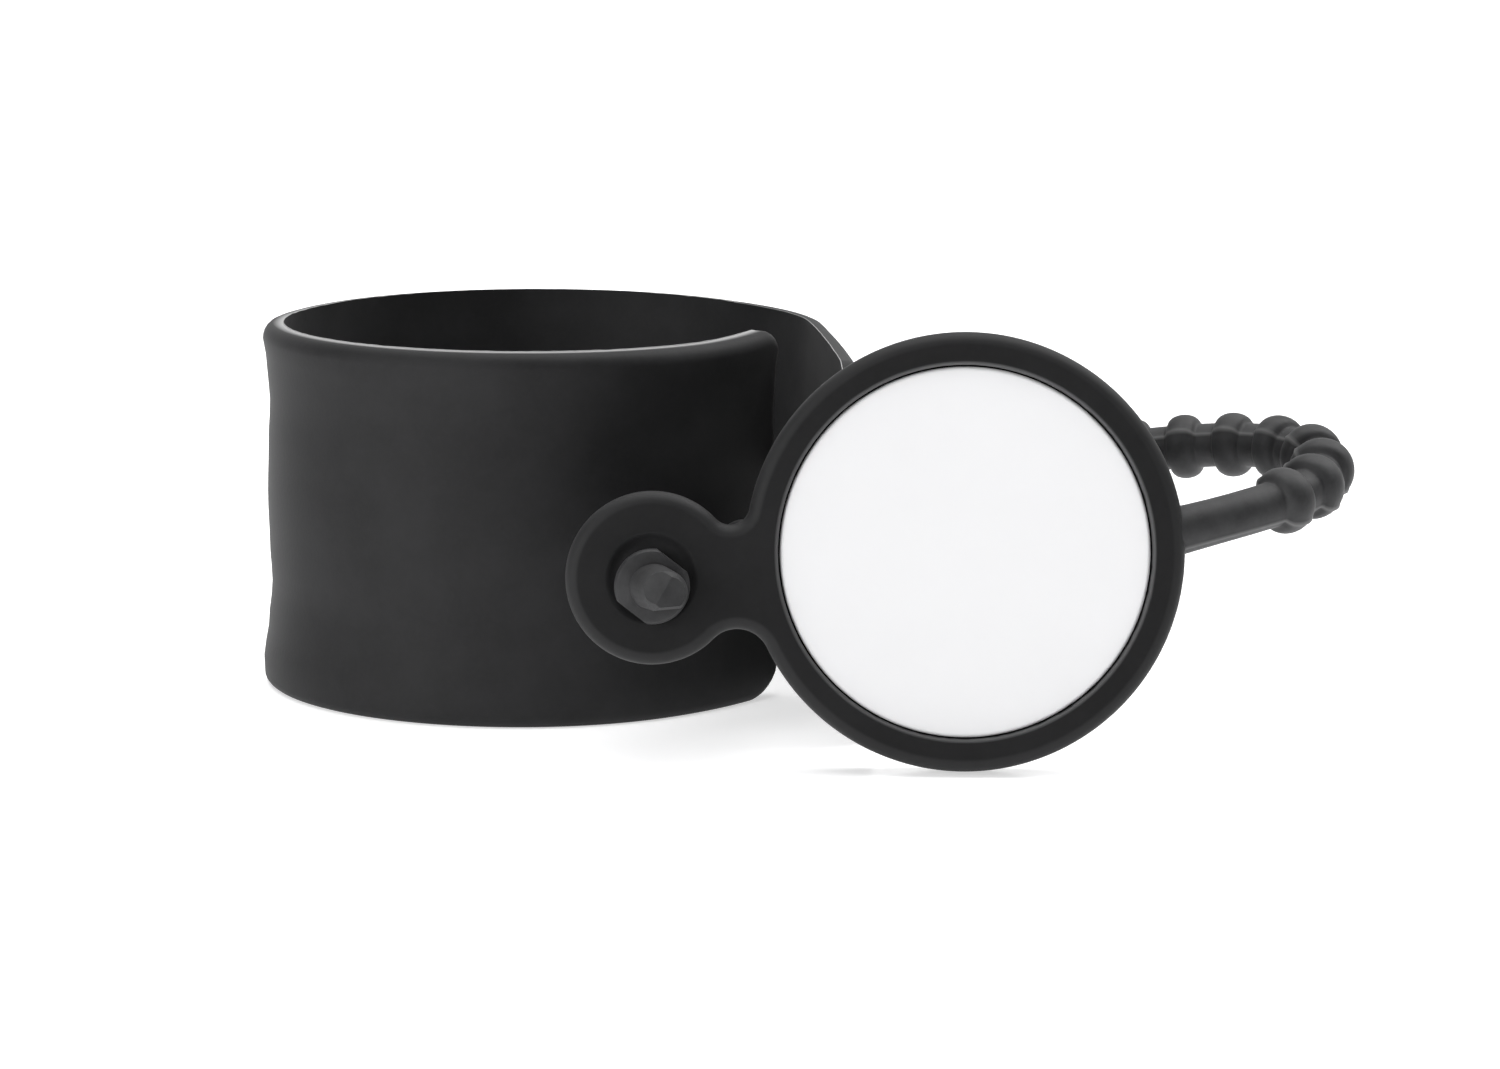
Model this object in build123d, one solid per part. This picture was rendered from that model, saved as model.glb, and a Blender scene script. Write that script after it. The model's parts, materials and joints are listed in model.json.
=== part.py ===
from build123d import *
import math
import os

os.makedirs("parts", exist_ok=True)

# A wrist pin holder: a coiled slap band of silicone rubber round a spring-steel strip, and a
# rubber ring with a hard magnetic pin plate, tied to the band's free end by its own beaded tie.
# Millimetres. +Z is up, -Y is the side that the pin plate faces, and the origin is on the floor
# at the middle of the wrist opening.

# Slap band
BAND_HEIGHT = 38.3
BAND_THICKNESS = 2.2
FRONT_COIL_RADIUS = 26.1        # middle of the wall, over the front and left
BACK_COIL_RADIUS = 27.9         # middle of the wall, where the coil opens out behind
INNER_END_ANGLE = -17.0         # where the covered end of the coil stops, seen from above
COIL_CHANGE_ANGLE = 160.0       # where the front radius becomes the back radius
STRAIGHT_ANGLE = 6.0            # where the coil runs out into the straight free end
FREE_END_LENGTH = 36.6
END_GAP = 0.3                   # slit that lets the rigid free end turn on the rigid coil
BAND_CORNER_RADIUS = 5.0
BAND_EDGE_RADIUS = 0.7

# Spring-steel strip, sealed in the middle of the rubber
STRIP_WIDTH = 19.0
STRIP_THICKNESS = 0.3
POCKET_WIDTH = 19.6
POCKET_THICKNESS = 0.6
STRIP_END_ANGLE = 9.0           # rubber left beyond the strip at the covered end
FREE_STRIP_LENGTH = 7.5

# Slot near the free end, which the beaded tie passes through
SLOT_DISTANCE = 16.5            # from the start of the straight free end
SLOT_LENGTH = 14.0
SLOT_HEIGHT = 10.0

# Holder moulding: a ring, an eyelet tab and the tie, all in one plane that leans back
RING_CENTRE = Vector(45.1, -45.0, 21.65)
RING_LEAN = 8.0
TAB_SLOPE = 5.2                 # the eyelet is lower than the ring by this angle
RING_RADIUS = 21.3
RING_BORE_RADIUS = 18.1
RING_THICKNESS = 5.0
RING_BACK_BORE_RADIUS = 15.0
RING_FRONT_EDGE_RADIUS = 1.3     # carried on round the tab and the eyelet
RING_BACK_EDGE_RADIUS = 1.0
LIP_BEVEL = 0.3

EYELET_DISTANCE = 30.4
EYELET_RADIUS = 8.4
TAB_THICKNESS = 3.0
UPPER_HOLLOW_RADIUS = 1.9       # of the hollow sides of the neck between ring and eyelet
LOWER_HOLLOW_RADIUS = 3.2
EYELET_HOLE_RADIUS = 2.6

# Pin plate: a hard white face, with a magnet and a steel keeper in a cup behind it
PLATE_RADIUS = 17.95
PLATE_RECESS = 0.6
PLATE_THICKNESS = 1.4
PLATE_SEAT_GAP = 0.05
PLATE_EDGE_RADIUS = 0.35
CUP_RADIUS = 14.7
CUP_WALL = 0.8
MAGNET_RADIUS = 12.0
MAGNET_THICKNESS = 1.5
KEEPER_RADIUS = 13.0
KEEPER_THICKNESS = 0.6
STACK_CLEARANCE = 0.03

# Beaded tie
TIE_RADIUS = 2.25
TIE_ROOT_INSET = 0.9            # how far the tie's root runs into the ring's wall
ROOT_CLEARANCE = 0.02
ROOT_BEND_RADIUS = 10.0
BEAD_RADIUS = 3.3
BEAD_WIDTH = 2.6
BEAD_EDGE_RADIUS = 0.6
BEAD_PITCH = 5.0
FIRST_BEAD = 13.0               # along the tie from its root
LAST_BEAD_GAP = 5.0             # between the last bead and the stopper
STOPPER_RADIUS = 3.6
STOPPER_WIDTH = 1.8
STOPPER_EDGE_RADIUS = 0.4
STOPPER_GAP = 0.1
TIP_LENGTH = 5.6
TIP_BASE_RADIUS = 2.3
TIP_END_RADIUS = 1.9
TIP_TURN = 17.0                 # the tip points this far to the right of straight out
TIP_RISE = 6.0
STRAIGHT_BEHIND_EYELET = 10.5
TANGENT_SHARE = 0.45            # of the shorter run beside a corner, taken up by its arc


def holder_plane() -> Plane:
    """The plane of the ring's face: X towards the tie, Z out of the face."""
    lean = math.radians(RING_LEAN)
    slope = math.radians(TAB_SLOPE)
    right = Vector(1, 0, 0)
    up = Vector(0, math.sin(lean), math.cos(lean))
    along = right * math.cos(slope) + up * math.sin(slope)
    return Plane(origin=RING_CENTRE, x_dir=along, z_dir=Vector(0, -math.cos(lean), math.sin(lean)))


HOLDER = holder_plane()


def in_holder(shape):
    """Put a shape that was drawn flat at the origin into the holder's plane."""
    return HOLDER.location * shape


def disc(radius: float, bottom: float, top: float, x: float = 0.0):
    """A solid disc between two heights, with its axis along Z at the given X."""
    return Pos(x, 0, bottom) * Cylinder(radius, top - bottom, align=(Align.CENTER, Align.CENTER, Align.MIN))


def on_holder(x: float, z: float) -> Vector:
    """A point in the holder's plane: x along the tab, z out of the ring's face."""
    return HOLDER.origin + HOLDER.x_dir * x + HOLDER.z_dir * z


# Heights of the pin plate's stack, measured out of the ring's face
plate_back = -PLATE_RECESS - PLATE_THICKNESS
magnet_top = plate_back - STACK_CLEARANCE
magnet_back = magnet_top - MAGNET_THICKNESS
keeper_top = magnet_back - STACK_CLEARANCE
keeper_back = keeper_top - KEEPER_THICKNESS
cup_back = keeper_back - STACK_CLEARANCE - CUP_WALL

# The tie's route: out of the ring, round behind it, through the slot and through the eyelet
TIE_ROUTE = [
    on_holder(RING_RADIUS - TIE_ROOT_INSET, -RING_THICKNESS / 2),
    Vector(71.6, -41.2, 24.8),
    Vector(80.3, -34.2, 26.4),
    Vector(82.2, -23.4, 28.2),
    Vector(74.6, -15.4, 28.3),
    Vector(61.0, -11.3, 26.3),
    Vector(46.5, -8.3, 23.2),
    Vector(35.2, -10.6, 20.0),
    Vector(26.6, -20.0, 17.9),
    Vector(18.6, -28.6, 17.3),
    on_holder(-EYELET_DISTANCE, -TAB_THICKNESS / 2 - STRAIGHT_BEHIND_EYELET),
    on_holder(-EYELET_DISTANCE, STOPPER_GAP),
]


# Slap band ------------------------------------------------------------------------------------

coil_shift = FRONT_COIL_RADIUS - BACK_COIL_RADIUS
change = math.radians(COIL_CHANGE_ANGLE)
straight = math.radians(STRAIGHT_ANGLE)
BACK_CENTRE = Vector(coil_shift * math.cos(change), coil_shift * math.sin(change), 0)
STRAIGHT_START = BACK_CENTRE + Vector(math.cos(straight), math.sin(straight), 0) * BACK_COIL_RADIUS
STRAIGHT_DIRECTION = Vector(math.sin(straight), -math.cos(straight), 0)
FLEX_AXIS = STRAIGHT_START + Vector(math.cos(straight), math.sin(straight), 0) * (BAND_THICKNESS / 2)


def coil_wall(thickness: float, start_angle: float, low: float, high: float):
    """The coiled wall of a given thickness, from start_angle round to the straight free end."""
    edges = []
    for side in (thickness / 2, -thickness / 2):
        front_turn = COIL_CHANGE_ANGLE - 360 - start_angle
        back_turn = STRAIGHT_ANGLE - COIL_CHANGE_ANGLE
        edges.append(CenterArc((0, 0, 0), FRONT_COIL_RADIUS + side, start_angle, front_turn))
        edges.append(CenterArc(BACK_CENTRE, BACK_COIL_RADIUS + side, COIL_CHANGE_ANGLE, back_turn))
    edges.append(Line(edges[0] @ 0, edges[2] @ 0))
    edges.append(Line(edges[1] @ 1, edges[3] @ 1))
    return Pos(0, 0, low) * extrude(make_face(edges), amount=high - low)


def free_wall(thickness: float, start: float, end: float, low: float, high: float):
    """A straight stretch of wall of the free end, between two distances from its start."""
    middle = STRAIGHT_START + STRAIGHT_DIRECTION * ((start + end) / 2)
    place = Plane(origin=(middle.X, middle.Y, (low + high) / 2), x_dir=STRAIGHT_DIRECTION, z_dir=(0, 0, 1))
    return place.location * Box(end - start, thickness, high - low)


def rounded_long_edges(solid, floor_heights: tuple):
    """Round the long edges that lie along the band at the given heights."""
    long_edges = [
        edge for edge in solid.edges()
        if edge.length > 2 * BAND_THICKNESS
        and any(abs(edge.center().Z - height) < 0.01 for height in floor_heights)
    ]
    return fillet(long_edges, BAND_EDGE_RADIUS)


def short_edges_at(solid, test):
    """The wall's short edges across its thickness, at its top and bottom, that pass the test."""
    return [
        edge for edge in solid.edges()
        if abs(edge.length - BAND_THICKNESS) < 0.05 and test(edge.center())
    ]


pocket_low = (BAND_HEIGHT - POCKET_WIDTH) / 2
strip_low = (BAND_HEIGHT - STRIP_WIDTH) / 2
strip_start = INNER_END_ANGLE - STRIP_END_ANGLE

coil = coil_wall(BAND_THICKNESS, INNER_END_ANGLE, 0, BAND_HEIGHT)
inner_end = math.radians(INNER_END_ANGLE)
end_point = Vector(math.cos(inner_end), math.sin(inner_end), 0) * FRONT_COIL_RADIUS
coil = fillet(
    short_edges_at(coil, lambda c: math.hypot(c.X - end_point.X, c.Y - end_point.Y) < 1), BAND_CORNER_RADIUS
)
coil = rounded_long_edges(coil, (0, BAND_HEIGHT))
pocket = coil_wall(POCKET_THICKNESS, strip_start, pocket_low, pocket_low + POCKET_WIDTH)
band_sleeve = coil - pocket
spring_strip = coil_wall(STRIP_THICKNESS, strip_start - 0.5, strip_low, strip_low + STRIP_WIDTH)

free_end = free_wall(BAND_THICKNESS, END_GAP, FREE_END_LENGTH, 0, BAND_HEIGHT)
free_tip = STRAIGHT_START + STRAIGHT_DIRECTION * FREE_END_LENGTH
free_end = fillet(short_edges_at(free_end, lambda c: abs(c.Y - free_tip.Y) < 1), BAND_CORNER_RADIUS)
free_end = rounded_long_edges(free_end, (0, BAND_HEIGHT))
free_end -= free_wall(
    POCKET_THICKNESS, END_GAP, FREE_STRIP_LENGTH + 0.3, pocket_low, pocket_low + POCKET_WIDTH
)
slot_middle = STRAIGHT_START + STRAIGHT_DIRECTION * SLOT_DISTANCE
slot_plane = Plane(
    origin=(slot_middle.X, slot_middle.Y, BAND_HEIGHT / 2),
    x_dir=STRAIGHT_DIRECTION,
    z_dir=(math.cos(straight), math.sin(straight), 0),
)
slot = extrude(SlotOverall(SLOT_LENGTH, SLOT_HEIGHT), amount=2 * BAND_THICKNESS, both=True)
free_end_sleeve = free_end - slot_plane.location * slot
free_end_strip = free_wall(
    STRIP_THICKNESS, END_GAP, FREE_STRIP_LENGTH, strip_low, strip_low + STRIP_WIDTH
)


# Holder ring and eyelet tab -------------------------------------------------------------------

def direction(start: tuple, end: tuple) -> float:
    """The angle, in degrees from +X, in which one flat point lies from another."""
    return math.degrees(math.atan2(end[1] - start[1], end[0] - start[0]))


def hollow_centre(radius: float, side: int) -> tuple:
    """The centre of a neck hollow that touches both the ring and the round of the eyelet."""
    to_eyelet = EYELET_RADIUS + radius
    to_ring = RING_RADIUS + radius
    x = (to_eyelet**2 - to_ring**2 - EYELET_DISTANCE**2) / (2 * EYELET_DISTANCE)
    return (x, side * math.sqrt(to_ring**2 - x**2))


def holder_outline():
    """The flat outline of the ring, its hollow neck and the eyelet, in touching arcs."""
    ring, eyelet = (0.0, 0.0), (-EYELET_DISTANCE, 0.0)
    upper = hollow_centre(UPPER_HOLLOW_RADIUS, 1)
    lower = hollow_centre(LOWER_HOLLOW_RADIUS, -1)
    ring_start, ring_end = direction(ring, lower), direction(ring, upper)
    upper_start, upper_end = direction(upper, ring), direction(upper, eyelet)
    eyelet_start, eyelet_end = direction(eyelet, upper), direction(eyelet, lower) + 360
    lower_start, lower_end = direction(lower, eyelet), direction(lower, ring)
    return make_face([
        CenterArc(ring, RING_RADIUS, ring_start, ring_end - ring_start),
        CenterArc(upper, UPPER_HOLLOW_RADIUS, upper_start, upper_end - upper_start),
        CenterArc(eyelet, EYELET_RADIUS, eyelet_start, eyelet_end - eyelet_start),
        CenterArc(lower, LOWER_HOLLOW_RADIUS, lower_start, lower_end - lower_start),
    ])


def make_holder_ring():
    """The rubber ring, its seat for the pin plate, and the eyelet tab, with one rounded rim."""
    front = Pos(0, 0, -TAB_THICKNESS) * extrude(holder_outline(), amount=TAB_THICKNESS)
    front = fillet(front.edges().group_by(Axis.Z)[-1], RING_FRONT_EDGE_RADIUS)
    back = disc(RING_RADIUS, -RING_THICKNESS, -TAB_THICKNESS / 2)
    back = fillet(back.edges().group_by(Axis.Z)[0], RING_BACK_EDGE_RADIUS)
    body = front + back
    body -= disc(RING_BORE_RADIUS, plate_back - PLATE_SEAT_GAP, 1)
    body -= disc(RING_BACK_BORE_RADIUS, -RING_THICKNESS - 1, 0)
    body -= disc(EYELET_HOLE_RADIUS, -RING_THICKNESS, 1, x=-EYELET_DISTANCE)
    bevel_edges = [
        edge for edge in body.edges()
        if abs(edge.center().Z) < 0.01 and abs(edge.length - 2 * math.pi * RING_BORE_RADIUS) < 0.5
    ]
    body = chamfer(bevel_edges, LIP_BEVEL)
    root = Plane(origin=TIE_ROUTE[0], z_dir=TIE_ROUTE[1] - TIE_ROUTE[0])
    socket = Cylinder(TIE_RADIUS + ROOT_CLEARANCE, 2 * TIE_RADIUS, align=(Align.CENTER, Align.CENTER, Align.MIN))
    return in_holder(body) - root.location * socket


# Pin plate ------------------------------------------------------------------------------------


def make_pin_plate_face():
    """The hard face, with a rounded rim and a shallow wall that locates the magnet cup."""
    face = disc(PLATE_RADIUS, plate_back, -PLATE_RECESS)
    face = fillet(face.edges().group_by(Axis.Z)[-1], PLATE_EDGE_RADIUS)
    return in_holder(face)


def make_magnet_cup():
    """The cup that closes the back of the plate over the keeper and the magnet."""
    cup = disc(CUP_RADIUS, cup_back, plate_back)
    cup = fillet(cup.edges().group_by(Axis.Z)[0], PLATE_EDGE_RADIUS)
    return in_holder(cup - disc(CUP_RADIUS - CUP_WALL, cup_back + CUP_WALL, plate_back + 1))


# Beaded tie -----------------------------------------------------------------------------------

def corner_radii(points: list) -> list:
    """The largest arcs that the runs beside each corner of the route leave room for."""
    radii = []
    for before, corner, after in zip(points, points[1:], points[2:]):
        run_in = corner - before
        run_out = after - corner
        half_turn = math.radians(run_in.get_angle(run_out)) / 2
        shorter = min(run_in.length, run_out.length)
        radii.append(TANGENT_SHARE * shorter / math.tan(half_turn))
    return radii


def make_bead(place: Plane):
    """One round-edged bead across the tie."""
    bead = Cylinder(BEAD_RADIUS, BEAD_WIDTH)
    bead = fillet(bead.edges().filter_by(GeomType.CIRCLE), BEAD_EDGE_RADIUS)
    return place.location * bead


def rod(start: Vector, end: Vector):
    """A straight length of the tie between two points."""
    run = end - start
    place = Plane(origin=start, z_dir=run)
    return place.location * Cylinder(TIE_RADIUS, run.length, align=(Align.CENTER, Align.CENTER, Align.MIN))


def make_beaded_tie():
    """The tie from the ring's wall, through the slot and the eyelet, to its tip."""
    radii = corner_radii(TIE_ROUTE)
    path = FilletPolyline(*TIE_ROUTE, radius=radii)
    print("tie length", round(path.length, 1), "radii", [round(radius, 1) for radius in radii])
    count = int((path.length - FIRST_BEAD - LAST_BEAD_GAP) / BEAD_PITCH) + 1
    shares = [(FIRST_BEAD + number * BEAD_PITCH) / path.length for number in range(count)]

    root_path = FilletPolyline(*TIE_ROUTE[:2], path @ shares[0], radius=ROOT_BEND_RADIUS)
    tie = sweep(Plane(origin=root_path @ 0, z_dir=root_path % 0) * Circle(TIE_RADIUS), path=root_path)
    # The tie bends at its beads, which cover the corners between the straight lengths.
    stops = [path @ share for share in shares] + [path @ 1]
    for number, share in enumerate(shares):
        tie += rod(stops[number], stops[number + 1])
        tie += make_bead(Plane(origin=stops[number], z_dir=path % share))
    stopper = disc(STOPPER_RADIUS, STOPPER_GAP, STOPPER_GAP + STOPPER_WIDTH, x=-EYELET_DISTANCE)
    stopper = fillet(stopper.edges().filter_by(GeomType.CIRCLE), STOPPER_EDGE_RADIUS)
    tie += in_holder(stopper)
    tip = Cone(TIP_BASE_RADIUS, TIP_END_RADIUS, TIP_LENGTH, align=(Align.CENTER, Align.CENTER, Align.MIN))
    tip = chamfer(tip.edges().group_by(Axis.Z)[-1], TIP_END_RADIUS / 3)
    tip_base = Pos(-EYELET_DISTANCE, 0, STOPPER_GAP + STOPPER_WIDTH / 2)
    tie += in_holder(tip_base * Rot(-TIP_RISE, TIP_TURN, 0) * tip)
    return tie


nodes = {
    "band_sleeve": band_sleeve,
    "spring_strip": spring_strip,
    "free_end_sleeve": free_end_sleeve,
    "free_end_strip": free_end_strip,
    "holder_ring": make_holder_ring(),
    "pin_plate_face": make_pin_plate_face(),
    "magnet": in_holder(disc(MAGNET_RADIUS, magnet_back, magnet_top)),
    "keeper_plate": in_holder(disc(KEEPER_RADIUS, keeper_back, keeper_top)),
    "magnet_cup": make_magnet_cup(),
    "beaded_tie": make_beaded_tie(),
}
for name, shape in nodes.items():
    export_step(shape, f"parts/{name}.step")
    print(name, round(shape.volume, 1))
print("flex axis", FLEX_AXIS, "slot middle", slot_middle, "face normal", HOLDER.z_dir)
print("plate face", on_holder(0, -PLATE_RECESS))
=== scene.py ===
import json
import logging
import math
from dataclasses import dataclass
from enum import Enum

import bmesh
import bpy
from bpy.types import ID, Material, Mesh, NodeSocket, NodeTree, Object
from mathutils import Matrix, Vector, noise

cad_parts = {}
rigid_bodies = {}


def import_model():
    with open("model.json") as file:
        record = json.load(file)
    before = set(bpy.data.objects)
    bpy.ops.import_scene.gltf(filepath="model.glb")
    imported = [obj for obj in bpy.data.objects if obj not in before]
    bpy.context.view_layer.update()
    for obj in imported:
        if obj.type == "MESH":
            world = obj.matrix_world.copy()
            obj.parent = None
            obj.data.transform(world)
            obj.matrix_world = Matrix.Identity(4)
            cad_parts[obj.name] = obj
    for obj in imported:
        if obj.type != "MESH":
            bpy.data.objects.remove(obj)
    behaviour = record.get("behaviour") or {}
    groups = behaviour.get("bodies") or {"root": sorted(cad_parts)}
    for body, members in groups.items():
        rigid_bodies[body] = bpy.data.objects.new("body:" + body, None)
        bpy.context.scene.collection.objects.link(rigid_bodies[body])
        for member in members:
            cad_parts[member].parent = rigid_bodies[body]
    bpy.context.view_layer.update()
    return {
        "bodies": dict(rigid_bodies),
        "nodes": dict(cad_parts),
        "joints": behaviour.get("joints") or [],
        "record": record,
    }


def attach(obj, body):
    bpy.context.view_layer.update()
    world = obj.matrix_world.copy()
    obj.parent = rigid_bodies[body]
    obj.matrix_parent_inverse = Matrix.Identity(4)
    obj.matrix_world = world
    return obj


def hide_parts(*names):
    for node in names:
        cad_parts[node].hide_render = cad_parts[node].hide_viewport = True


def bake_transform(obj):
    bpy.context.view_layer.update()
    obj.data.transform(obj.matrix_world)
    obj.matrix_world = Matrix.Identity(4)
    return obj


# A wrist pin holder: a coiled slap band of silicone rubber standing on its edge, and a rubber
# ring with a white pin plate, tied to the band's free end by its own beaded tie.
# Sizes in the classes are millimetres; every mesh is made in metres, in the frame of the CAD.

MM = 0.001
MERGE = 1e-7  # corners nearer than this are one corner, in metres
PALENESS_AND_HIGHLIGHT = "paleness_and_highlight"  # the mesh attribute of the painted highlight on rims, lips and parting lines, and of the stub's paler tone
log = logging.getLogger("pin_holder")


# Small tools -----------------------------------------------

def linear(code: str) -> tuple[float, float, float, float]:
    """Turn an sRGB hex colour into linear RGBA.

    Args:
        code: the colour as "#RRGGBB".

    Returns:
        Linear red, green, blue and an alpha of one.
    """
    parts = [int(code[place:place + 2], 16) / 255 for place in (1, 3, 5)]
    red, green, blue = (p / 12.92 if p <= 0.04045 else ((p + 0.055) / 1.055) ** 2.4 for p in parts)
    return red, green, blue, 1.0


def add_node(tree: NodeTree, kind: str, inputs: dict | None = None, **settings) -> bpy.types.Node:
    """Add one node, with its settings, its values and its links.

    Args:
        tree: the tree that gets the node.
        kind: the node's type name.
        inputs: values or output sockets, by the input's name or number.
        settings: the node's own properties, set before its inputs.

    Returns:
        The new node.
    """
    node = tree.nodes.new(kind)
    for key, value in settings.items():
        setattr(node, key, value)
    for key, value in (inputs or {}).items():
        if isinstance(value, NodeSocket):
            tree.links.new(value, node.inputs[key])
        else:
            node.inputs[key].default_value = value
    return node


def start_material(name: str) -> tuple[Material, NodeTree]:
    """Make an empty node material.

    Args:
        name: the finish's plain name.

    Returns:
        The material and its node tree.
    """
    material = bpy.data.materials.new(name)
    material.use_nodes = True
    material.node_tree.nodes.clear()
    return material, material.node_tree


def dress(piece: Object, material: Material) -> None:
    """Give a piece one material in every slot it has.

    Args:
        piece: the object.
        material: what it gets.
    """
    if not piece.data.materials:
        piece.data.materials.append(material)
    for place in piece.material_slots:
        place.material = material


def place_object(name: str, data: ID) -> Object:
    """Make an object and link it to the scene.

    Args:
        name: the object's name.
        data: its mesh, curve, light or camera.

    Returns:
        The object.
    """
    thing = bpy.data.objects.new(name, data)
    bpy.context.scene.collection.objects.link(thing)
    return thing


def close_up(mesh: Mesh) -> None:
    """Merge a mesh's coincident corners and turn its normals outwards.

    Args:
        mesh: the mesh that is changed.
    """
    shape = bmesh.new()
    shape.from_mesh(mesh)
    bmesh.ops.remove_doubles(shape, verts=shape.verts, dist=MERGE)
    bmesh.ops.recalc_face_normals(shape, faces=shape.faces)
    shape.to_mesh(mesh)
    shape.free()


def mesh_piece(name: str, points: list[Vector], faces: list[tuple[int, ...]]) -> Object:
    """Make a mesh object from closed faces, with its normals pointing outwards.

    Args:
        name: the piece's name.
        points: its corners, in metres.
        faces: the corners of each face.

    Returns:
        The object, linked to the scene.
    """
    mesh = bpy.data.meshes.new(name)
    mesh.from_pydata([tuple(point) for point in points], [], faces)
    close_up(mesh)
    return place_object(name, mesh)


def loft(name: str, rings: list[list[Vector]]) -> Object:
    """Skin a row of rings with quads and close both ends.

    Args:
        name: the piece's name.
        rings: loops of the same number of points, in metres.

    Returns:
        A closed mesh object.
    """
    count = len(rings[0])
    points = [point for ring in rings for point in ring]
    faces = [
        (row * count + side, row * count + (side + 1) % count,
         (row + 1) * count + (side + 1) % count, (row + 1) * count + side)
        for row in range(len(rings) - 1) for side in range(count)
    ]
    faces.append(tuple(range(count)))
    faces.append(tuple(range(len(points) - count, len(points))))
    return mesh_piece(name, points, faces)


def settle(piece: Object) -> None:
    """Turn a mesh piece's modifiers into plain mesh.

    Args:
        piece: the object, which keeps its name.
    """
    graph = bpy.context.evaluated_depsgraph_get()
    mesh = bpy.data.meshes.new_from_object(piece.evaluated_get(graph), depsgraph=graph)
    piece.modifiers.clear()
    piece.data = mesh


def smooth(share: float) -> float:
    """Hold a share between zero and one, and ease it in and out."""
    share = max(0.0, min(1.0, share))
    return share * share * (3 - 2 * share)


def quarter(radius: float, angles: tuple[float, ...]) -> list[tuple[float, float]]:
    """Walk a quarter round, as on a rounded edge.

    Args:
        radius: of the round.
        angles: where the points lie, in degrees from the side to the top.

    Returns:
        Points as (distance in from the side, distance down from the top).
    """
    turns = [math.radians(angle) for angle in angles]
    return [(radius * (1 - math.cos(turn)), radius * (1 - math.sin(turn))) for turn in turns]


class Cut(Enum):
    """What a second solid does to a piece."""

    TAKE_AWAY = "DIFFERENCE"
    JOIN = "UNION"


def combine(piece: Object, tool: Object, how: Cut) -> None:
    """Cut a piece with a tool, or join the tool to it, and drop the tool.

    Args:
        piece: the closed mesh that is changed.
        tool: the closed mesh that changes it.
        how: which of the two is wanted.
    """
    step = piece.modifiers.new("combine", "BOOLEAN")
    step.operation = how.value
    step.solver = "EXACT"
    step.object = tool
    settle(piece)
    bpy.data.objects.remove(tool)


def shade(piece: Object, angle: float = 32.0, weighted: bool = False) -> None:
    """Shade a piece smooth, with edges sharper than an angle kept crisp.

    Args:
        piece: the finished mesh.
        angle: in degrees.
        weighted: whether large flat faces keep their own normal.
    """
    piece.data.shade_smooth()
    piece.data.set_sharp_from_angle(angle=math.radians(angle))
    if weighted:
        step = piece.modifiers.new("flat faces stay flat", "WEIGHTED_NORMAL")
        step.keep_sharp = True
        settle(piece)


# Finishes --------------------------------------------------

def cloud(tree: NodeTree, place: NodeSocket, size: float, detail: float = 2.0,
          roughness: float = 0.5) -> NodeSocket:
    """Add a noise texture.

    Args:
        tree: the material's tree.
        place: the coordinates.
        size: of its spots, in metres.
        detail: how many finer layers it has.
        roughness: how strong they are.

    Returns:
        Its value.
    """
    return add_node(tree, "ShaderNodeTexNoise", {
        "Vector": place, "Scale": 1 / size, "Detail": detail, "Roughness": roughness}).outputs["Fac"]


def spread(tree: NodeTree, value: NodeSocket, low: float, high: float,
           start: float = 0.0, end: float = 1.0) -> NodeSocket:
    """Map a value from the range start to end onto the range low to high."""
    return add_node(tree, "ShaderNodeMapRange", {
        "Value": value, "From Min": start, "From Max": end, "To Min": low, "To Max": high}).outputs["Result"]


def blend_colours(tree: NodeTree, share: NodeSocket,
                  first: NodeSocket | tuple[float, float, float, float],
                  second: NodeSocket | tuple[float, float, float, float]) -> NodeSocket:
    """Mix two colours, from the first at a share of zero to the second at one."""
    return add_node(tree, "ShaderNodeMix", {0: share, 6: first, 7: second}, data_type="RGBA").outputs[2]


def end_material(tree: NodeTree, colour: NodeSocket, gloss: NodeSocket,
                 relief: NodeSocket, strength: float, depth: float, more: dict) -> None:
    """End a material's tree in a Principled surface with a fine relief.

    Args:
        tree: the material's tree.
        colour: its base colour.
        gloss: its roughness.
        relief: the height of its fine relief.
        strength: of the relief.
        depth: of the relief, in millimetres.
        more: other inputs of the surface.
    """
    bump = add_node(tree, "ShaderNodeBump", {"Height": relief, "Strength": strength, "Distance": depth * MM})
    surface = add_node(tree, "ShaderNodeBsdfPrincipled", {
        "Base Color": colour, "Roughness": gloss, "Normal": bump.outputs["Normal"], **more})
    add_node(tree, "ShaderNodeOutputMaterial", {"Surface": surface.outputs["BSDF"]})


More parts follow.
